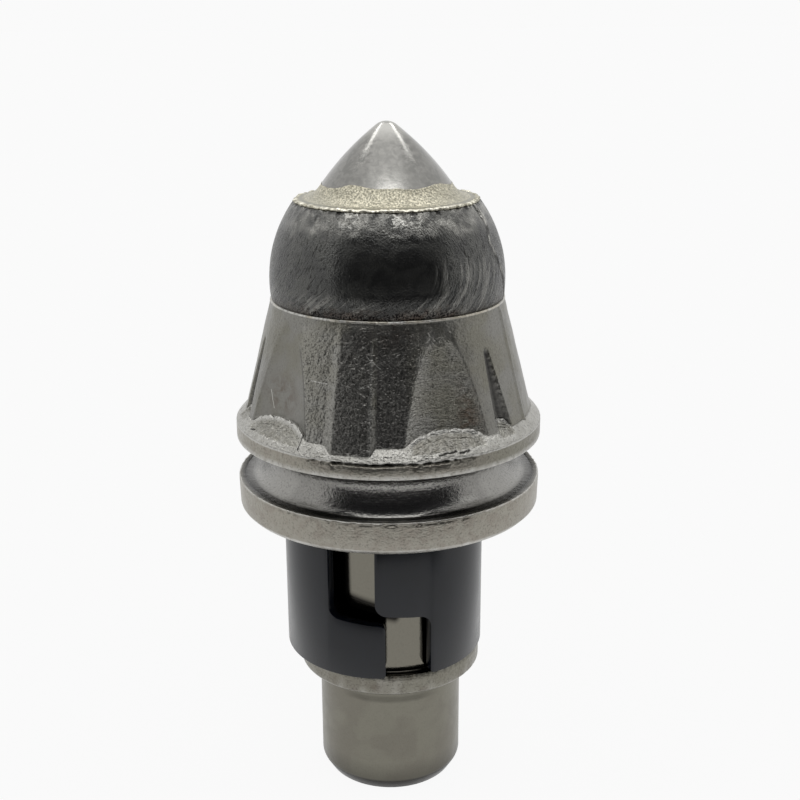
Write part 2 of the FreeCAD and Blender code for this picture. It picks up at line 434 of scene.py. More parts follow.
def makeForgedSteel():
    look = forgedFinish
    material, place, grain, marks = startMaterial("forgedSteel", look)
    rings = placeGroup(turningGroup, {"Vector": place, "Pitch": look["ringPitch"]})["Rings"]
    clouds = addNoise(place, look["clouds"], 3.0, 0.4)
    blots = addNoise(place, look["blots"], 3.0, 0.5)
    lathed = mixColour(step(clouds, 0.40, 0.60), look["turned"], look["clouded"])
    skin = mixColour(step(clouds, 0.42, 0.62), look["forged"], look["olive"])
    # painted shade on the cone's rib face, to its right and in its wedge grooves
    skin = mixColour(marks["shade"], skin, look["scale"])
    beige = mixColour(step(blots, 0.4, 0.68), look["beige"], look["brown"])
    stained = multiply(marks["rust"], step(blots, 0.36, 0.60))
    # light pinpoints and dark pores in the grain
    points = multiply(step(grain["Speckle"], 0.82, 1.0), marks["grain"], 0.18)
    pores = multiply(step(grain["Speckle"], 0.24, 0.0), marks["grain"], 0.60)
    # cracks, painted shade in corners, creases and recesses, and painted shade on the neck beside the
    # sleeve's slit
    cracksAndShade = mostOf(addStrokes(place, look["cracks"]), marks["crevice"])
    shade = multiply(addStrokes(place, look["neckShade"]), marks["satin"], 1.6)
    dark = addMath("MINIMUM", mostOf(cracksAndShade, shade), 0.95)
    colour = paintOver(
        mixColour(marks["forged"], lathed, skin),
        (marks["satin"], look["neck"]), (marks["cove"], look["cove"]), (marks["side"], beige),
        (stained, look["rust"]), (marks["bright"], look["bright"]), (marks["brass"], look["brass"]),
        (addStrokes(place, look["scratches"]), look["bright"]),
        (points, look["bright"]), (pores, look["pitAndShade"]), (dark, look["pitAndShade"]))
    roughness = mixValue(marks["cove"], mixValue(grain["Mottle"], *look["roughness"]), look["coveRoughness"])
    roughness = mixValue(marks["satin"], roughness, look["neckRoughness"])
    # the groove's leaning skin, pebbles, fine grain, hammer marks, wrinkles along the rims of the
    # pads, lathe rings and cracks
    pebbles = addNoise(place, look["pebbles"], 2.5, 0.3)
    dents = addNoise(stretch(place, (1, 1, 2.3)), look["dents"], 2.0, 0.6)
    wander = multiply(addNoise(place, look["wander"], 3.0), look["wanderDepth"])
    wave = addMath("SINE", addMath("ADD", multiply(marks["fromRim"], look["wrinkles"]), wander), 0.0)
    unturned = addMath("SUBTRACT", mostOf(marks["forged"], marks["side"]), 1.0)
    return endMaterial(material, colour, roughness, [
        (marks["lean"], 1.0, 0.001),
        (multiply(pebbles, marks["grain"], marks["grain"]), 1.0, 0.00036),
        (multiply(grain["Height"], marks["grain"]), 0.8, 0.00015),
        (multiply(dents, marks["hammered"]), 1.0, 0.00055),
        (multiply(wave, marks["pad"]), 0.5, 0.00006),
        (multiply(rings, unturned, -1.0), 0.3, 0.00003),
        (multiply(cracksAndShade, -1.0), 0.7, 0.00025)], Metallic=1.0)


bandFinish = {
    "marks": ("crust", "worn", "ripple", "stroked", "glint", "crevice", "ridge"),
    "steel": (0.104, 0.104, 0.098, 1),
    "soot": (0.084, 0.084, 0.081, 1),
    # colour of worn spots and of painted light
    "worn": (0.32, 0.314, 0.290, 1),
    # colour of the painted glints and of the painted highlight on the seam's ridge
    "glint": (0.60, 0.59, 0.55, 1),
    "brown": (0.105, 0.085, 0.072, 1),
    "pitAndShade": (0.010, 0.009, 0.009, 1),
    "roughness": (0.28, 0.32), "crustRoughness": 0.45,
    "grain": (2700.0, 330.0), "haze": 420.0, "flakes": 1000.0,
}


def makeWeldDeposit():
    look = bandFinish
    material, place, grain, marks = startMaterial("weldDeposit", look)
    crust, worn, ripple, stroked = (marks[name] for name in ("crust", "worn", "ripple", "stroked"))
    # the weave map runs along and across the ripples, in millimetres
    weave = addNode(material.node_tree, "ShaderNodeUVMap", {}, uv_map="weave")
    dashes = addNoise(stretch(weave, (2.0, 0.7, 1)), 1.0, 5.0, 0.9)
    ripples = addNoise(stretch(weave, (0.8, 0.1, 1)), 1.0, 2.5, 0.5)
    haze = addNoise(place, look["haze"], 5.0, 0.4)
    flakes = addNoise(place, look["flakes"], 3.0, 1.0)
    # painted light on the ripple arcs
    lit = multiply(step(ripples, 0.45, 0.68), ripple, 0.68)
    # painted glints as bright flecks near the top, short dark strokes, pits in the crust, painted shade in
    # the seam's gully, its hole, the nicks and on the sides, and a painted highlight on the seam's ridge
    flecks = multiply(marks["glint"], step(flakes, 0.49, 0.58))
    strokes = multiply(step(dashes, 0.46, 0.36), stroked, 0.7)
    spatter = multiply(crust, step(grain["Speckle"], 0.50, 0.2))
    colour = paintOver(
        mixColour(step(grain["Mottle"], 0.1, 0.9), look["soot"], look["steel"]),
        (multiply(worn, step(haze, 0.34, 0.66)), look["worn"]), (lit, look["worn"]),
        (multiply(crust, grain["Mottle"]), look["brown"]), (flecks, look["glint"]),
        (mostOf(strokes, spatter, marks["crevice"]), look["pitAndShade"]),
        (multiply(marks["ridge"], 0.7), look["glint"]))
    roughness = mixValue(crust, mixValue(grain["Mottle"], *look["roughness"]), look["crustRoughness"])
    grainy = addMath("ADD", multiply(crust, 0.9), multiply(stroked, 0.80), 0.10)
    flaky = addMath("ADD", multiply(worn, 0.5), stroked)
    return endMaterial(material, colour, roughness, [
        (multiply(ripples, ripple), 0.8, 0.00040),
        (multiply(dashes, flaky), 0.8, 0.00028),
        (multiply(flakes, worn), 0.8, 0.00030),
        (multiply(grain["Speckle"], grainy), 0.8, 0.00014)], Metallic=1.0)


brazeFinish = {
    "marks": ("grainy", "lip"),
    "khaki": (0.250, 0.241, 0.194, 1),
    "cream": (0.70, 0.658, 0.522, 1),
    "olive": (0.22, 0.207, 0.155, 1),
    # colour of the painted highlight on the ring's edge
    "lip": (1.0, 0.97, 0.85, 1),
    "roughness": (0.40, 0.50), "grain": (2900.0, 1500.0),
}


def makeBrazeMetal():
    look = brazeFinish
    material, place, grain, marks = startMaterial("brazeMetal", look)
    grainy = marks["grainy"]
    colour = mixColour(multiply(grainy, grain["Speckle"]), look["khaki"], look["cream"])
    olive = multiply(grainy, step(grain["Mottle"], 0.45, 0.1), 0.45)
    # painted highlight on the ring's edge
    colour = paintOver(colour, (olive, look["olive"]), (marks["lip"], look["lip"]))
    height = multiply(grain["Height"], addMath("ADD", grainy, 0.08))
    return endMaterial(material, colour, mixValue(grainy, *look["roughness"]), [(height, 0.7, 0.00011)],
                       Metallic=1.0)


tipFinish = {
    "marks": ("worn",), "worn": (0.43, 0.425, 0.40, 1),
    "tones": ((0.200, 0.198, 0.187, 1), (0.255, 0.250, 0.236, 1)),
    "roughness": (0.19, 0.27), "grain": (2300.0, 900.0), "relief": (0.4, 0.00004),
}
sleeveFinish = {
    "marks": (), "tones": ((0.0008, 0.0015, 0.0032, 1), (0.0020, 0.0030, 0.0055, 1)),
    "roughness": (0.22, 0.27), "grain": (3000.0, 180.0), "relief": (0.10, 0.00003),
}


def makeMottled(name, look, **constants):
    # two tones in a fine grain: sintered carbide, which is worn in places and carries a painted highlight, or
    # blued steel
    material, place, grain, marks = startMaterial(name, look)
    colour = mixColour(grain["Mottle"], *look["tones"])
    colour = paintOver(colour, *((marks[mark], look[mark]) for mark in look["marks"]))
    roughness = mixValue(grain["Mottle"], *look["roughness"])
    return endMaterial(material, colour, roughness, [(grain["Height"], *look["relief"])], **constants)


# The forging: shank, shoulder, neck, collar, puller groove, flange, fluted cone and nose
forging = {
    "steps": 50,
    "shankR": 14.9, "shankLength": 24.9, "endChamferWidth": 1.5, "endChamferHeight": 2.4,
    "shoulderR": 18.85, "shoulderHeight": 4.7, "shoulderChamfer": 0.7,
    "neckR": 17.0, "neckLength": 31.3, "neckFillet": 1.6,
    "collarR": 30.5, "collarTaper": 0.15, "collarHeight": 6.6, "collarChamfer": 1.0,
    "grooveWidth": 8.3, "grooveDepth": 6.9,
    # lean of the groove's polished skin in degrees, at the front and at the sides, and how far below
    # its middle it is reached
    "skinLean": 44.0, "skinLeanSide": 23.0, "skinLeanAt": 70.0,
    "flangeEdgeHeight": 3.3, "crownHeight": 4.7, "crownBulge": 0.9,
    "coneFootR": 28.4, "coneFootRise": 2.5,
    "softEdge": 0.22, "beadHeight": 0.45, "beadBulge": 0.12,
    # bites under the collar's top lip: azimuth, width, depth
    "collarBites": [(1.5, 2.4, 0.34), (12.0, 3.0, 0.2), (19.0, 2.6, 0.2), (27.0, 2.0, 0.12),
                    (-8.0, 1.6, 0.12), (-38.0, 6.0, 0.12), (96.0, 2.6, 0.3), (151.0, 2.2, 0.25),
                    (-118.0, 2.4, 0.3)],
    # depth of the fold under the flange's front lip, by azimuth
    "fold": [(-30, 0.0), (-28, 0.25), (-25, 0.1), (-21, 0.12), (-19, 0.5), (-17, 0.2), (-15, 0.5),
             (-12, 0.4), (-9, 0.75), (-3, 0.7), (1, 0.45), (6, 0.3), (12, 0.5), (20, 0.35), (25, 0.3),
             (29, 0.15), (32, 0.0)],
    # radii that part the socket, the neck, the groove and the edges of collar and flange
    "socketReach": 12.0, "neckReach": 19.5, "grooveReach": 30.0, "edgeReach": 30.1,
}
# the cone's pattern: a pair is a value at the foot and at the top, or where a side begins and crests
pattern = {
    "azimuth": -13.4, "repeats": 2,
    "fluteOffset": 36.4, "fluteScoopR": 25.0, "fluteFootDepth": 2.4, "fluteFootRise": 4.0, "fluteRunout": 3.0,
    "wedgeOffset": (64.3, 60.8), "wedgeR": (2.3, 0.55), "wedgeRunout": 7.4, "wedgeFootRise": 1.5,
    "ribSides": ((11.6, 7.0), (8.9, 6.4)), "ribProud": (1.05, 0.15),
    "ridgeOffset": 80.0, "ridgeSides": ((1.9, 0.0), (1.9, 0.0)), "ridgeProud": (0.3, 0.3),
    "landRunout": 0.6, "scoopBlend": 0.12, "wedgeBlend": 0.3,
}
shankTop = forging["shankLength"]
shoulderTop = shankTop + forging["shoulderHeight"]
collarUnder = shoulderTop + forging["neckLength"]
collarTop = collarUnder + forging["collarHeight"]
flangeUnder = collarTop + forging["grooveWidth"]
flangeEdge = flangeUnder + forging["flangeEdgeHeight"]
coneFoot = flangeEdge + forging["coneFootRise"]
beadAt = coneTop - forging["beadHeight"]
grooveR = forging["grooveWidth"] / 2
grooveMouth = forging["collarR"] - forging["grooveDepth"] + grooveR


def barrelR(thickness, height):
    # radius of the barrel round the nose, or of what lies at a depth under it
    bulge = shared["barrelBulgeR"] - thickness
    middle = coneTop + shared["barrelRise"]
    return barrelMaxR - shared["barrelBulgeR"] + math.sqrt(bulge ** 2 - (height - middle) ** 2)


def barrelBulge(thickness):
    # how far the barrel's arc stands off its chord
    bulge = shared["barrelBulgeR"] - thickness
    chord = math.hypot(barrelR(thickness, noseTop) - barrelR(thickness, coneTop), noseTop - coneTop)
    return bulge - math.sqrt(bulge ** 2 - chord ** 2 / 4)


def coneR(height):
    slope = (forging["coneFootR"] - coneTopR) / (coneTop - coneFoot)
    return forging["coneFootR"] - slope * (height - coneFoot)


def crownHeight(radius):
    # height of the flange's crown at a radius, on the arc through its two ends
    run = forging["crownHeight"]
    width = flangeR - coneTopR
    chord = math.hypot(run, width)
    bulge = forging["crownBulge"]
    bend = (chord ** 2 / 4 + bulge ** 2) / (2 * bulge)
    centreR = (flangeR + coneTopR) / 2 + run / chord * (bulge - bend)
    centreZ = flangeEdge + run / 2 + width / chord * (bulge - bend)
    return centreZ + math.sqrt(max(0.0, bend ** 2 - (radius - centreR) ** 2))


def meetCrown(surface):
    # the radius where a surface, given as radius by height, meets the crown, found in damped steps
    radius = forging["coneFootR"]
    for attempt in range(24):
        radius = blend(surface(crownHeight(radius)), radius, 0.4)
    return radius


footR = meetCrown(coneR)
footZ = crownHeight(footR)


def landProud(offset, height, sides, proud):
    # how far a rib stands out of the cone at an offset from its middle
    top = coneTop - pattern["landRunout"]
    begin, crest = sides[0] if offset < 0 else sides[1]
    fade = 1 - smooth(top - 1.0, top + 0.6, height)
    share = (height - flangeEdge) / (top - flangeEdge)
    return blend(*proud, share) * smooth(begin, crest, abs(offset)) * fade


def boreR(axis, size, offset):
    # radius where a bore with its axis out at a radius cuts in at an offset, or None beside it
    angle = math.radians(offset)
    inside = size ** 2 - (axis * math.sin(angle)) ** 2
    if inside <= 0 or abs(offset) > 60:
        return None
    return axis * math.cos(angle) - math.sqrt(inside)


def fluteR(offset, height):
    # a scoop's bore leans in towards the foot
    low = flangeEdge + pattern["fluteFootRise"]
    high = coneTop - pattern["fluteRunout"]
    scoop = pattern["fluteScoopR"]
    lowAxis = coneR(low) - pattern["fluteFootDepth"] + scoop
    highAxis = coneR(high) + scoop
    axis = blend(lowAxis, highAxis, (height - low) / (high - low))
    return boreR(axis, scoop * math.hypot(1, (highAxis - lowAxis) / (high - low)), offset)


def wedgeCut(offset, height):
    # a wedge groove is a narrow bore in the cone's skin, with a round end at its top
    low = flangeEdge + pattern["wedgeFootRise"]
    high = coneTop - pattern["wedgeRunout"]
    share = (height - low) / (high - low)
    width = blend(*pattern["wedgeR"], share)
    if height > high:
        width = math.sqrt(max(0.0, pattern["wedgeR"][1] ** 2 - (height - high) ** 2))
    return boreR(coneR(height), width, offset - blend(*pattern["wedgeOffset"], share))


def coneSurface(azimuth, height):
    # the forged cone with its lands, flutes and wedge grooves
    radius = coneR(height)
    for repeat in range(pattern["repeats"]):
        middle = pattern["azimuth"] + repeat * 360 / pattern["repeats"]
        offset = nearest(azimuth, middle)
        ridge = nearest(azimuth, middle + pattern["ridgeOffset"])
        radius += landProud(offset, height, pattern["ribSides"], pattern["ribProud"])
        radius += landProud(ridge, height, pattern["ridgeSides"], pattern["ridgeProud"])
        scoop = fluteR(abs(offset) - pattern["fluteOffset"], height)
        if scoop is not None:
            radius = softLeast(radius, scoop, pattern["scoopBlend"])
        groove = wedgeCut(abs(offset), height)
        if groove is not None:
            radius = softLeast(radius, groove, pattern["wedgeBlend"])
    return radius


def forgingOutline():
    size = forging
    soft = size["softEdge"]
    shankR, shoulderR, neckR, collarR = (size[name] for name in ("shankR", "shoulderR", "neckR", "collarR"))
    chamfer = size["shoulderChamfer"]
    fillet = size["neckFillet"]
    edgeR = collarR - size["collarTaper"]
    socketR = tipR + socketGap
    socketBottom = plugBottom - socketGap
    crownPart = size["crownBulge"] * ((flangeR - footR) / (flangeR - coneTopR)) ** 2
    return drawOutline(0, 0, [
        (shankR - size["endChamferWidth"], 0, 1, 0, soft),
        (shankR, size["endChamferHeight"], 1, 0, soft * 2),
        (shankR, 7.0),  # row for the painted shadow above the end
        (shankR, shankTop - 3.9),
        (shankR, shankTop - 1.9, 3),  # rows for the painted shadow under the shoulder
        (shankR, shankTop),
        (shoulderR - chamfer, shankTop, 1, 0, soft),
        (shoulderR, shankTop + chamfer, 1, 0, soft),
        (shoulderR, shoulderTop, 3, 0, soft),
        (neckR, shoulderTop),
        (neckR, shoulderTop + 0.9, 2),  # rows for the painted shade in the corner
        (neckR, collarUnder - fillet),
        (neckR + fillet, collarUnder, 3, fillet * (1 - math.sqrt(0.5))),
        (edgeR - size["collarChamfer"], collarUnder, 1, 0, soft),
        (edgeR, collarUnder + size["collarChamfer"], 1, 0, soft),
        (collarR, collarTop - 1.0, 2),
        (collarR, collarTop, 4, 0, soft),  # lip with its bites
        (grooveMouth, collarTop, 2),
        (grooveMouth, flangeUnder, 26, grooveR),
        (flangeR, flangeUnder, 1, 0, soft),
        (flangeR, flangeEdge - 0.9, 2),
        (flangeR, flangeEdge - 0.15, 4),  # fold
        (flangeR, flangeEdge, 1, 0, 0.1),
        (footR, crownHeight(footR), 21, -crownPart),
        (coneR(beadAt), beadAt, 50),
        (coneTopR, coneTop, 4, -size["beadBulge"]),
        (barrelR(bandThick, coneTop), coneTop),
        (barrelR(bandThick, noseTop), noseTop),
        (socketR, noseTop),
        (socketR, socketBottom + plugChamfer),
        (socketR - plugChamfer, socketBottom),
        (0, socketBottom),
    ])


def wearShank(azimuth, radius, height, marks):
    # shank, shoulder and neck: painted shadow at the end, painted shade in the corners, knocks on the
    # shoulder
    marks["grain"] = 0.1
    # painted shadow, darker towards the bottom and darkest on the end's chamfer
    marks["crevice"] = 0.42 * smooth(8, 2.5, height) + 0.56 * smooth(2.9, 2.2, height)
    if radius < 20 and height > shoulderTop - slack:
        marks["satin"] = 1.0
        # painted shade in the neck's corner above the shoulder
        marks["crevice"] = 0.9 * smooth(shoulderTop + 0.3, shoulderTop + 0.05, height)
    elif height > shankTop + 0.02:
        knock = roughAt(azimuth, 18, height * 0.6, 2.2)
        underSleeveShade = smooth(shoulderTop - 0.5, shoulderTop - 0.1, height)
        marks.update(
            side=0.1, grain=0.45, hammered=0.15,
            # knocks worn bright, and a painted highlight on the shoulder's lower edge
            bright=0.2 * smooth(0.0, 0.5, knock) + 0.2 * smooth(26.2, 25.3, height),
            rust=0.5 * smooth(0.2, 0.45, roughAt(azimuth, 18, height, 2.4)),
            # painted shade on the shoulder's top, under the sleeve
            crevice=underSleeveShade * (0.45 + 0.6 * roughAt(azimuth, 18, 40, 0.6)))
        radius -= 0.05 * smooth(0.1, 0.6, knock)
    elif height > shankTop - 3.8:
        # a painted shadow line on the shank under the shoulder, at the front only
        marks["crevice"] = 0.45 * bump(shankTop - 2.9, 0.6, height) * smooth(44, 24, abs(azimuth))
    return radius, height


def wearCollar(azimuth, radius, height, marks):
    # collar: mottled side, painted highlights on the lower edge and on the ragged top lip, and bites under
    # the lip darkened by painted shade
    low = smooth(collarUnder + 1.3, collarUnder + 0.9, height) * smooth(28, 29.2, radius)
    under = bump(collarTop - 0.42, 0.2, height) * smooth(29.0, 30.0, radius)
    top = smooth(collarTop - 0.3, collarTop - 0.1, height) * smooth(29.2, 30.0, radius)
    ragged = roughAt(azimuth, 30, 3, 0.8)
    bite = hills(forging["collarBites"], azimuth)
    bite = max(0.0, bite * (0.7 + 1.7 * roughAt(azimuth, 30, 6, 0.7)))
    marks.update(
        side=1.0, grain=0.45, hammered=0.12,
        bright=max(low * (0.6 + 0.7 * roughAt(azimuth, 30, 0, 1.5)), top * (0.75 + 0.8 * ragged)),
        crevice=min(0.9, under * (bite * 4.0 + 0.25 * smooth(0.1, 0.5, ragged))))
    radius -= top * (0.05 + 0.10 * ragged + 0.3 * bite) + under * (0.02 + bite)
    return radius, height - top * (0.02 + 0.10 * ragged + 0.2 * bite)


def wearGroove(azimuth, radius, height, marks):
    # groove: painted light on its upper wall and at its sides, a painted highlight low down at the sides, and
    # painted shade in its lower corner
    side = abs(azimuth)
    low = collarTop + grooveR - height
    onLedge = radius > grooveMouth - slack and low > 0
    turned = 90.0 if onLedge else math.degrees(math.atan2(low, grooveMouth - radius))
    # lean is the height of a skin that leans more towards the groove's lower edge, summed in steps
    full = blend(forging["skinLean"], forging["skinLeanSide"], smooth(6, 36, side))
    stride = 2.0
    at = lean = 0.0
    while at < turned:
        angle = full * smooth(0, forging["skinLeanAt"], at + stride / 2)
        lean -= math.tan(math.radians(angle)) * math.radians(min(stride, turned - at)) * grooveR
        at += stride
    # where the painted shade in the lower corner begins, higher up at the sides
    edge = 99 - 28 * smooth(3, 20, side) + 4 * smooth(25, 40, side)
    out = turned + (10 * (radius - grooveMouth) if onLedge else 0.0)
    # painted light on the upper wall, less at the sides, and a painted highlight low in the groove at the
    # sides, stronger on the right
    paintedUpperLight = 0.56 * smooth(26, -4, turned) * (1 - 0.6 * smooth(14, 34, side))
    paintedCrescentHighlight = (0.1 + 0.3 * smooth(-5, 15, azimuth)) * bump(56, 14, turned) * window(6, 18, 34, 50, side)
    marks.update(
        cove=1.0, grain=0.42, lean=lean,
        crevice=0.92 * smooth(edge, edge + 15 + 12 * smooth(25, 40, side), out),
        bright=max(paintedUpperLight, paintedCrescentHighlight, 0.3 * smooth(40, 50, side), 0.14))
    return radius, height


def wearFlange(azimuth, radius, height, marks):
    # flange side: mottled, darkened on the right by painted shade, painted highlights on the lower edge and
    # the top lip, and the fold under its front lip darkened by painted shade
    ragged = roughAt(azimuth, 30, 8, 0.7)
    low = smooth(flangeUnder + 0.5, flangeUnder + 0.2, height)
    lip = smooth(flangeEdge - 0.25, flangeEdge - 0.12, height)
    fold = along(forging["fold"], azimuth)
    fold += 0.35 * smooth(0.25, 0.5, roughAt(azimuth, 30, 20, 3.0)) * smooth(60, 80, abs(azimuth))
    fold = max(0.0, fold * (0.9 + 1.3 * ragged))
    gap = bump(flangeEdge - 0.42 + 0.12 * roughAt(azimuth, 30, 14, 1.2), 0.26, height)
    marks.update(
        # painted shade on the right side, where less of the side's mottled colour lies
        side=0.8 * (1 - window(18, 45, 70, 110, azimuth)), grain=0.5, hammered=0.15,
        bright=max(low * (0.85 + 0.6 * ragged), lip),
        crevice=min(1.0, fold * 3.2) * gap)
    return radius - min(0.8, fold) * gap, height + 0.16 * ragged * lip


def shapeCrown(azimuth, radius, footHere, marks):
    # the crown's pads under the flutes are pressed in and end at a ragged rim; the crown is lightened by
    # painted light, less on the pads, with a painted highlight on the rim's lip and painted shade at its foot
    share = (flangeR - radius) / (flangeR - footR)
    radius += share * (footHere - footR)
    height = crownHeight(radius)
    fromRim = radius - footHere
    scooped = smooth(28.0, 27.0, footHere)
    lip = bump(0.32, 0.36, fromRim) * (0.75 + 1.1 * roughAt(azimuth, radius, 5, 0.6)) * scooped
    pad = scooped * smooth(0.55, 1.0, fromRim) * smooth(29.75, 29.3, radius)
    height += 0.42 * lip - 0.26 * pad
    radius += 0.12 * lip
    height += 0.10 * roughAt(azimuth, radius, 3, 1.3) * smooth(0.0, 0.3, share)
    paintedLight = 0.66 - 0.42 * pad + 0.25 * roughAt(azimuth, radius, 7, 0.9)
    marks.update(
        forged=0.35, grain=0.72, hammered=0.35, pad=pad, fromRim=fromRim,
        bright=min(1.0, paintedLight + max(0.0, lip)),
        crevice=max(0.6 * smooth(0.28, 0.0, fromRim) * (1 - scooped), 0.5 * smooth(0.1, 0.0, fromRim)))
    return radius, height


def shapeCone(azimuth, radius, height, footHere, marks):
    # presses the cone's rows into the flutes and lands
    keep = radius - coneR(height) if height > beadAt - slack else 0.0
    share = max(0.0, (height - footZ) / (coneTop - footZ))
    height = blend(crownHeight(footHere), coneTop, share)
    pressed = coneSurface(azimuth, height)
    radius = pressed + keep
    radius += 0.06 * roughAt(azimuth, radius, height, 2.6) * smooth(coneTop, coneTop - 2, height)
    # zones by the offset from the nearest rib's middle
    half = 180 / pattern["repeats"]
    offset = (nearest(azimuth, pattern["azimuth"]) + half) % (2 * half) - half
    scooped = smooth(0.03, 0.25, coneR(height) - pressed)
    coarse = window(-30, -26, 30, 36, offset) * smooth(coneTop + 4, coneTop - 8, height)
    rightScoop = scooped * window(12, 16, 50, 56, offset)
    rightWall = rightScoop * smooth(34, 20, offset)
    ribFace = window(-7.6, -6.8, 6.2, 6.6, offset)
    rightPanel = window(8.4, 9.2, 19, 27, offset) * (1 - scooped)
    leftPanel = window(-30, -26, -8.0, -7.2, offset) * (1 - scooped)
    inWedge = scooped * smooth(54, 58, abs(offset))
    # painted shade on the rib's face, to its right and in the wedge grooves; painted light to its left, on
    # the flute's left wall, along the rib's edge and near the flute's top
    below = smooth(coneTop - 0.5, coneTop - 3, height)
    ribEdge = bump(6.6, 0.4, offset) * smooth(101, 97, height)
    paintedLight = below * (0.16 * leftPanel + 0.4 * rightWall + 0.5 * ribEdge)
    paintedLight += 0.3 * bump(36, 8, offset) * bump(coneTop - 3.4, 1.6, height)
    stain = 0.75 * bump(-52, 9, azimuth) * bump(87.5, 3.2, height)
    stain += bump(34.0, 4.0, azimuth) * smooth(95, 84, height)
    stain += 0.35 * bump(2, 12, azimuth) * smooth(97, 101, height)
    stain += 0.6 * smooth(0.1, 0.5, roughAt(azimuth, 22, height * 0.3, 6.0)) * smooth(60, 80, abs(azimuth))
    # the bead at the top gets a painted highlight and, in places, a brass colour
    bead = smooth(beadAt + 0.03, beadAt + 0.15, height)
    warm = smooth(-0.2, 0.3, roughAt(azimuth, 23, 9, 2.5) + 0.4 * math.sin(math.radians(azimuth)))
    marks.update(
        forged=1.0, rust=min(1.0, stain), brass=bead * warm * 0.4,
        grain=0.42 + 0.55 * coarse * (1 - scooped) - 0.2 * scooped * (1 - rightScoop) + 0.3 * rightScoop,
        hammered=0.10 + 0.9 * rightScoop * smooth(coneTop - 3, coneTop - 7, height),
        shade=below * (0.85 * ribFace + 0.95 * rightPanel) + inWedge,
        bright=paintedLight + bead * (0.85 + 1.0 * roughAt(azimuth, 23, 4, 0.6)))
    return radius, height


feet = {}


def shapeForging(azimuth, radius, height, marks):
    if height > coneTop + slack or radius < forging["socketReach"]:
        return None
    if height < collarUnder - slack or radius < forging["neckReach"]:
        return wearShank(azimuth, radius, height, marks)
    if radius < forging["grooveReach"] and collarTop - slack < height < flangeUnder + slack:
        return wearGroove(azimuth, radius, height, marks)
    if height < collarTop + slack:
        return wearCollar(azimuth, radius, height, marks)
    key = round(azimuth, 2)
    if key not in feet:
        feet[key] = meetCrown(lambda z: coneSurface(azimuth, z))
    if radius > forging["edgeReach"] and height < flangeEdge + 0.02:
        return wearFlange(azimuth, radius, height, marks)
    if radius > footR + 0.001 and height < footZ + slack:
        return shapeCrown(azimuth, radius, feet[key], marks)
    if height > footZ - slack:
        return shapeCone(azimuth, radius, height, feet[key], marks)
    return None


def makeForging(material):
    finishTurned(forgingOutline(), forging, forgedFinish, shapeForging,
                 "forgedBody", material, "forged_body")


# The weld deposit round the nose
deposit = {
    "steps": 50,
    "rows": 84,
    "seam": [(103.0, 78.0), (107.5, 73.4), (112.1, 65.0), (115.4, 61.6), (119.0, 65.4), (122.1, 64.6)],
    "lowEdgeIn": 0.12, "holeAt": 120.5,
    "weaveMiddle": 112.5, "weaveRise": 4.5, "weaveBend": 0.058,
}


def markDeposit(azimuth, height, ragged):
    # where the weld shows crust, worn clouds lightened by painted light near the top, arcs lit by painted
    # light, short strokes and painted glints; least in the middle
    side = abs(azimuth)
    sides = max(smooth(-20, -31, azimuth), smooth(26, 38, azimuth)) * smooth(120, 116, height)
    foot = smooth(108.6, 105.4, height)
    crust = smooth(coneTop + 2.4, coneTop + 0.7, height + 1.0 * ragged)
    front = 0.35 + 0.65 * max(window(-48, -34, 28, 42, azimuth), smooth(80, 100, side))
    top = smooth(116.5, 119.5, height + 0.9 * roughAt(azimuth, 20, height, 2.0))
    arcs = window(17, 27, 60, 72, azimuth) * smooth(115, 110, height)
    # painted glints at given azimuths near the top
    flash = max(bump(-21, 5, azimuth), 0.9 * bump(9, 9, azimuth), 0.5 * bump(160, 20, azimuth))
    flash = min(1.0, flash * (1 + roughAt(azimuth, 21, height, 0.9)))
    return {
        "crust": crust * front,
        "worn": top * (0.45 + 0.55 * smooth(-0.3, 0.4, roughAt(azimuth, 21, height, 2.4))),
        "ripple": max(arcs, 0.95 * foot, 0.3 * smooth(70, 90, side)),
        "stroked": max((0.95 + 0.25 * smooth(45, 65, side)) * sides, 0.8 * foot, 0.5 * top, 0.06),
        "glint": flash * smooth(noseTop - 3.4, noseTop - 1.6, height),
    }


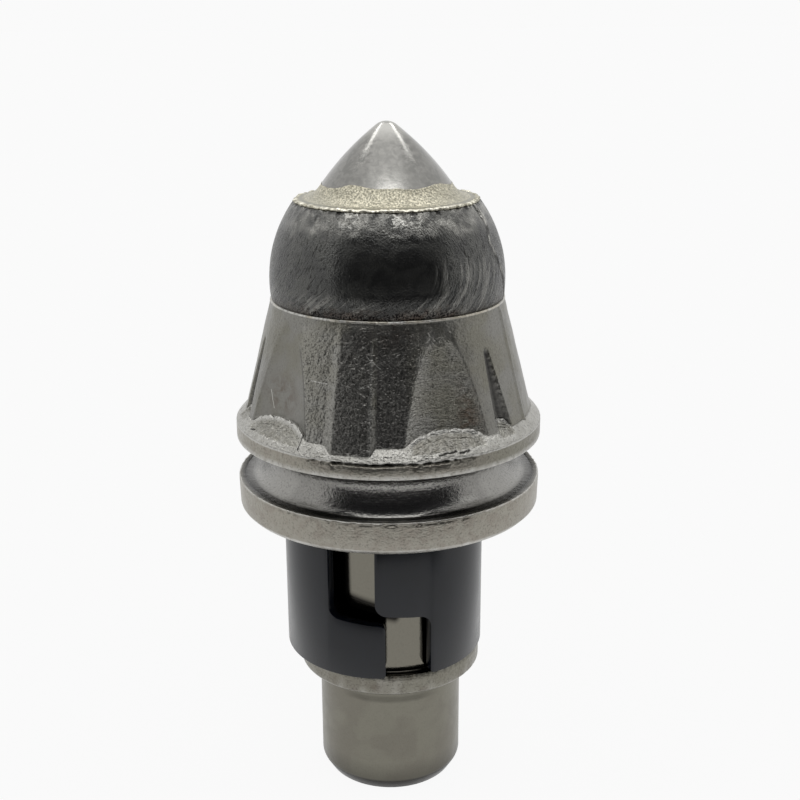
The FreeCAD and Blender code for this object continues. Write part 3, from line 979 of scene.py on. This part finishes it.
def shapeDeposit(azimuth, radius, height, marks):
    if radius < barrelR(bandThick, min(noseTop, max(coneTop, height))) + 0.4:
        return None
    side = abs(azimuth)
    radius += 0.025 * roughAt(azimuth, radius, height, 4.0)
    # ragged foot and top
    ragged = roughAt(azimuth, 23, height * 1.5, 0.9)
    radius -= smooth(coneTop + 0.6, coneTop + 0.1, height) * (deposit["lowEdgeIn"] + 0.10 * ragged)
    crown = smooth(noseTop - 0.7, noseTop, height)
    radius -= crown * (0.12 + 0.30 * roughAt(azimuth, 18, 2, 0.7))
    height -= crown * 0.26 * max(0.0, roughAt(azimuth, 18, 7, 0.9))
    # seam where the last pass laps the first, with a hole at its top
    seamAt = along(deposit["seam"], height) + 1.4 * rough(height, 3, 8, 1.1)
    off = math.radians(nearest(azimuth, seamAt)) * radius
    gully = bump(0.0, 0.2, off) * (0.5 + 0.9 * rough(height, 9, 1, 1.0))
    gully *= smooth(coneTop, coneTop + 5, height)
    hole = bump(0.0, 0.6, off) * bump(deposit["holeAt"], 1.1, height)
    radius += 0.12 * window(0.2, 0.6, 0.8, 2.6, off) - 0.2 * gully - 0.7 * hole
    nicks = smooth(noseTop - 0.8, noseTop - 0.35, height) * smooth(0.0, 0.4, roughAt(azimuth, 18, 4, 0.8))
    shaded = 0.22 * window(50, 75, 100, 120, side)
    broken = smooth(-0.25, 0.3, rough(height, 5, 2, 1.4)) * smooth(coneTop + 3, coneTop + 7, height)
    beside = bump(0.85, 0.25, off) * bump(deposit["holeAt"] - 0.2, 1.3, height)
    made = markDeposit(azimuth, height, ragged)
    # painted shade in the gully, the hole, the nicks and on the sides; a painted highlight on the seam's
    # ridge and beside the hole
    made["crevice"] = min(1.0, max(0.8 * gully + hole * 1.4, 0.9 * nicks, shaded))
    made["ridge"] = max(bump(0.42, 0.18, off) * broken, beside)
    marks.update((name, max(0.0, value)) for name, value in made.items())
    return radius, height


def addWeaveMap(bm):
    # distance round the nose, sheared so that the ripples stand upright on the map
    layer = bm.loops.layers.uv.new("weave")
    seam = deposit["seam"][1][1]
    for face in bm.faces:
        middle = face.calc_center_median()
        faceAzimuth = math.degrees(math.atan2(middle.x, -middle.y))
        for loop in face.loops:
            azimuth, radius, height = placeOf(loop.vert)
            turned = nearest(faceAzimuth, seam) + nearest(azimuth, faceAzimuth)
            level = deposit["weaveMiddle"] + deposit["weaveRise"] * smooth(-50, -85, turned)
            arc = math.radians(turned) * barrelMaxR
            loop[layer].uv = (arc + deposit["weaveBend"] * (height - level) ** 2, height)


def makeDeposit(material):
    outerLow = barrelR(0, coneTop)
    bm = drawOutline(outerLow, coneTop, [
        (barrelR(0, noseTop), noseTop, deposit["rows"], -barrelBulge(0), 0.3),
        (barrelR(bandThick, noseTop), noseTop, 4),
        (barrelR(bandThick, coneTop), coneTop, 6, barrelBulge(bandThick)),
        (outerLow, coneTop, 2),
    ])
    spinOutline(bm, deposit["steps"])
    shapeVerts(bm, bandFinish["marks"], shapeDeposit)
    addWeaveMap(bm)
    finishPiece(bm, "hardfacingBand", material, "pick", "hardfacing_band")


# The carbide tip: flankBow is how far its flank bows out at half its height
carbide = {"steps": 30, "apexR": 3.2, "apexAngle": 43.0, "flankBulge": 0.52, "flankBow": 0.728}
apexAngle = math.radians(carbide["apexAngle"])
flankEndR = carbide["apexR"] * math.sin(apexAngle)
flankEndZ = tipTop - carbide["apexR"] * (1 - math.cos(apexAngle))


def flankR(height):
    # radius of the tip's flank, on the arc between its skirt and its rounded apex
    share = (height - tipSkirt) / (flankEndZ - tipSkirt)
    return blend(tipR, flankEndR, share) + carbide["flankBow"] * 4 * share * (1 - share)


def wearTip(azimuth, radius, height, marks):
    # worn at the apex, with a painted highlight at its front foot
    foot = bump(2, 26, azimuth) * smooth(5.0, 0.8, height - tipSkirt)
    marks["worn"] = max(0.8 * smooth(3.8, 0.8, tipTop - height), 0.45 * foot)


def makeTip(material):
    bm = drawOutline(0, plugBottom, [
        (tipR - plugChamfer, plugBottom, 2),
        (tipR, plugBottom + plugChamfer),
        (tipR, tipSkirt, 3, 0, 0.2),
        (flankEndR, flankEndZ, 40, -carbide["flankBulge"]),
        (0, tipTop, 12, -carbide["apexR"] * (1 - math.cos(apexAngle / 2))),
    ])
    finishTurned(bm, carbide, tipFinish, wearTip, "carbideTip", material, "carbide_tip")


# The brazing metal: cup round the plug, ring and fillet
braze = {
    "steps": 40, "ringR": 17.85, "rimHeight": 0.3, "ringSlope": 0.35,
    "filletR": 15.4, "filletBulge": 0.35, "edgeWidth": 0.1, "edgeDrop": 0.1,
    # how far the metal climbs the tip: azimuth, width, rise
    "crests": [(-30.0, 14.0, 0.95), (3.0, 20.0, 0.5), (50.0, 18.0, 0.75), (128.0, 24.0, 0.6),
               (190.0, 26.0, 0.6), (-120.0, 24.0, 0.6)],
}
rimTop = noseTop + braze["rimHeight"]
ringTop = rimTop + braze["ringSlope"]
edgeTop = tipSkirt - braze["edgeDrop"]
edgeR = tipR + braze["edgeWidth"]


def shapeBraze(azimuth, radius, height, marks):
    # the fillet climbs the tip in crests, and the ring has a crumbled edge
    if radius > edgeR - 0.02 and height > ringTop - 0.05:
        share = smooth(0, 1, (height - ringTop) / (edgeTop - ringTop))
        climb = hills(braze["crests"], azimuth) + 0.10 * roughAt(azimuth, 13, 1, 1.1)
        radius += (flankR(edgeTop + climb) + 0.07 - edgeR) * share ** 1.5
        height += climb * share
        radius += 0.08 * roughAt(azimuth, radius, height, 0.8) * (1 - share)
        radius += 0.25 * bump(-31, 7, azimuth) * bump(0.75, 0.3, share)
        # fewer light grains towards the sides, a painted shade
        marks["grainy"] = 1.0 - 0.4 * smooth(22, 55, abs(azimuth)) * (1 - share)
    elif radius > braze["filletR"] - 0.1 and height > noseTop - slack:
        out = smooth(braze["filletR"], braze["ringR"], radius)
        edge = smooth(braze["ringR"] - 1.1, braze["ringR"] - 0.55, radius)
        above = 1 - edge * smooth(noseTop + 0.28, noseTop + 0.1, height)
        crumb = roughAt(azimuth, 17, 2, 0.5)
        # painted highlight along the ring's crumbled edge, strongest at the front
        lit = 0.1 + 0.75 * bump(0, 42, azimuth) + 1.2 * crumb
        radius += out * 0.08 * roughAt(azimuth, 17, 5, 1.3) + edge * 0.42 * crumb
        height += edge * (0.08 + 0.30 * roughAt(azimuth, 17, 11, 0.6)) * above
        marks["grainy"] = max(edge * 0.6, smooth(0.35, 0.0, out))
        marks["lip"] = max(0.0, edge * lit * above)
    return radius, height


def makeBraze(material):
    cupR = tipR + socketGap
    cupBottom = plugBottom - socketGap
    bm = drawOutline(0, cupBottom, [
        (cupR - plugChamfer, cupBottom, 2),
        (cupR, cupBottom + plugChamfer),
        (cupR, noseTop, 2),
        (braze["ringR"], noseTop, 5),
        (braze["ringR"], rimTop, 2, 0, 0.22),
        (braze["filletR"], ringTop, 12, 0, 0.2),
        (edgeR, edgeTop, 26, braze["filletBulge"]),
        (tipR, edgeTop),
        (tipR, plugBottom + plugChamfer, 2),
        (tipR - plugChamfer, plugBottom),
        (0, plugBottom, 2),
    ])
    finishTurned(bm, braze, brazeFinish, shapeBraze, "brazeJoint", material, "braze_joint")


# The split sleeve: a stamped strip that is cut out flat and then rolled
sleeve = {
    "outsideR": (sleeveBox[1].x - sleeveBox[0].x) / 2 / mm,
    "axisX": (sleeveBox[1].x + sleeveBox[0].x) / 2 / mm,
    "bottom": sleeveBox[0].z / mm,
    "top": sleeveBox[1].z / mm,
    "wall": 2.0,
    "upperLeft": -32.6, "upperRight": -5.0, "lowerLeft": 0.7, "lowerRight": 27.1,
    "slitHeight": 11.3, "stepGap": 2.3, "slant": 5.5,
    "cornerR": 2.2, "endCornerR": 0.8, "edgeRound": 0.22, "sharpFrom": 1.2, "rollStep": 1.5,
}


def makeSleeve(material):
    size = sleeve
    outsideR = size["outsideR"]
    unroll = math.radians(1) * outsideR
    low, high = size["bottom"], size["top"]
    tabTop = low + size["slitHeight"]
    tabBottom = tabTop + size["stepGap"]
    small, large = size["endCornerR"], size["cornerR"]
    # corners of the strip, which runs once round: azimuth, height, slanted or not, rounding
    corners = [
        (size["lowerRight"], low, 0, small),
        (size["lowerLeft"] + 360, low, 0, small),
        (size["lowerLeft"] + 360, tabTop, 1, small),
        (size["upperLeft"] + 360, tabTop, 1, large),
        (size["upperLeft"] + 360, high, 0, small),
        (size["upperRight"], high, 0, small),
        (size["upperRight"], tabBottom, 1, large),
        (size["lowerRight"], tabBottom, 1, large),
    ]
    bm = bmesh.new()
    verts = []
    for azimuth, height, slanted, rounding in corners:
        drop = outsideR * math.sin(math.radians(azimuth)) * math.tan(math.radians(size["slant"]))
        verts.append(bm.verts.new((azimuth * unroll * mm, 0, (height - drop * slanted) * mm)))
    bm.faces.new(verts)
    for vert, corner in zip(verts, corners):
        roundOff(bm, [vert], corner[3], 6, "VERTICES")
    azimuth = size["upperRight"] + size["rollStep"]
    while azimuth < size["lowerLeft"] + 360:
        bmesh.ops.bisect_plane(bm, geom=bm.verts[:] + bm.edges[:] + bm.faces[:], dist=1e-7,
                               plane_co=(azimuth * unroll * mm, 0, 0), plane_no=(1, 0, 0))
        azimuth += size["rollStep"]
    made = bmesh.ops.extrude_face_region(bm, geom=bm.faces[:], use_keep_orig=True)
    bmesh.ops.translate(bm, verts=vertsOf(made["geom"]), vec=(0, size["wall"] * mm, 0))
    bmesh.ops.recalc_face_normals(bm, faces=bm.faces[:])
    sharp = [edge for edge in bm.edges
             if len(edge.link_faces) == 2 and edge.calc_face_angle() > size["sharpFrom"]]
    roundOff(bm, sharp, size["edgeRound"], 2, "EDGES")
    for vert in bm.verts:
        angle = vert.co.x / mm / outsideR
        radius = outsideR - vert.co.y / mm
        x = radius * math.sin(angle) + size["axisX"]
        vert.co = Vector((x, -radius * math.cos(angle), vert.co.z / mm)) * mm
    bmesh.ops.recalc_face_normals(bm, faces=bm.faces[:])
    finishPiece(bm, "retainerSleeve", material, "sleeve", "retainer_sleeve")


# Floor, card and lights, in metres
studio = {
    "floorSize": 40.0, "floorColour": (0.03, 0.03, 0.03, 1), "floorGlow": 0.926,
    "skyRadiance": 1.03, "backdrop": 0.955,
    # the dark card in front: azimuths, and its section as distance and height
    "cardColour": (0.024, 0.025, 0.028, 1), "cardLeft": -54.0, "cardRight": 66.0,
    "cardSection": [(0.32, 0.001), (0.80, 0.001), (0.80, 0.86)],
    # softboxes: name, place, aim, width, length, radiance
    "softboxes": [
        ("frontBox", (0.06, -0.55, 1.05), (0, 0, 0.13), 0.66, 0.27, 2.6),
        ("ceiling", (0.0, 0.12, 1.10), (0, 0.12, 0.0), 0.90, 0.80, 0.55),
    ],
    "stripPlace": (0.41, 0.49, 1.02), "stripTurn": 32.6,
    "stripWidth": 0.10, "stripLength": 0.60, "stripRadiance": 6.0,
}
# the camera, fitted to the photo, whose frame is 800 pixels wide
view = {
    "lens": 55.39, "distance": 237.7, "height": 155.3, "pitch": 17.22, "roll": 0.427,
    "principalX": 388.24, "frameWidth": 800,
}


def addStage(bm, name, colour, glow):
    material = bpy.data.materials.new(name)
    material.use_nodes = True
    setInputs(material.node_tree.nodes["Principled BSDF"], {
        "Base Color": colour, "Roughness": 0.9, "Specular IOR Level": 0.0,
        "Emission Color": (1, 1, 1, 1), "Emission Strength": glow})
    piece = linkMesh(bm, name, material)
    return piece


def addFloor():
    half = studio["floorSize"] / 2
    bm = bmesh.new()
    corners = ((-half, -half, 0), (half, -half, 0), (half, half, 0), (-half, half, 0))
    bm.faces.new([bm.verts.new(corner) for corner in corners])
    addStage(bm, "floor", studio["floorColour"], studio["floorGlow"])


def addDarkCard():
    # bent card that only the metal mirrors
    bm = bmesh.new()
    start = math.radians(studio["cardLeft"])
    places = [bm.verts.new((r * math.sin(start), -r * math.cos(start), z)) for r, z in studio["cardSection"]]
    edges = [bm.edges.new(pair) for pair in zip(places, places[1:])]
    sweep = math.radians(studio["cardRight"] - studio["cardLeft"])
    bmesh.ops.spin(bm, geom=places + edges, cent=(0, 0, 0), axis=(0, 0, 1), angle=sweep, steps=24)
    card = addStage(bm, "darkCard", studio["cardColour"], 0.0)
    card.visible_camera = card.visible_diffuse = card.visible_shadow = False


def addSoftbox(name, place, turn, width, length, radiance):
    # a softbox that only the metal mirrors, so the floor stays evenly lit
    data = bpy.data.lights.new(name, "AREA")
    data.shape = "RECTANGLE"
    data.size = width
    data.size_y = length
    data.energy = radiance * math.pi * width * length
    light = bpy.data.objects.new(name, data)
    light.visible_diffuse = False
    light.location = place
    light.rotation_mode = "QUATERNION"
    light.rotation_quaternion = turn
    bpy.context.scene.collection.objects.link(light)


def addLights():
    for name, place, aim, *size in studio["softboxes"]:
        addSoftbox(name, place, (Vector(aim) - Vector(place)).to_track_quat("-Z", "Y"), *size)
    x, y, z = studio["stripPlace"]
    size = (studio["stripWidth"], studio["stripLength"], studio["stripRadiance"])
    for side, name in ((-1, "stripLeft"), (1, "stripRight")):
        turn = Matrix.Rotation(math.radians(side * studio["stripTurn"]), 4, "Z").to_quaternion()
        addSoftbox(name, (side * x, y, z), turn, *size)


def addSky():
    world = bpy.data.worlds.new("studioSky")
    world.use_nodes = True
    seen = addNode(world.node_tree, "ShaderNodeLightPath", {}, "Is Camera Ray")
    strength = mixValue(seen, studio["skyRadiance"], studio["backdrop"])
    setInputs(world.node_tree.nodes["Background"], {"Color": (1, 1, 1, 1), "Strength": strength})
    bpy.context.scene.world = world


def addCamera():
    data = bpy.data.cameras.new("camera")
    data.sensor_width = 36
    data.lens = view["lens"]
    data.shift_x = 0.5 - view["principalX"] / view["frameWidth"]
    data.clip_start = 0.01
    data.clip_end = 100
    camera = bpy.data.objects.new("camera", data)
    place = Matrix.Translation((0, -view["distance"] * mm, view["height"] * mm))
    tilt = Matrix.Rotation(math.radians(90 - view["pitch"]), 4, "X")
    roll = Matrix.Rotation(math.radians(-view["roll"]), 4, "Z")
    camera.matrix_world = place @ tilt @ roll
    bpy.context.scene.collection.objects.link(camera)
    bpy.context.scene.camera = camera


addCamera()
addFloor()
addDarkCard()
addLights()
addSky()
print("studio ready")
makeForging(makeForgedSteel())
makeDeposit(makeWeldDeposit())
makeTip(makeMottled("carbide", tipFinish, Metallic=1.0))
makeBraze(makeBrazeMetal())
makeSleeve(makeMottled("bluedSteel", sleeveFinish, IOR=1.42))
bpy.context.scene.view_settings.view_transform = "Standard"
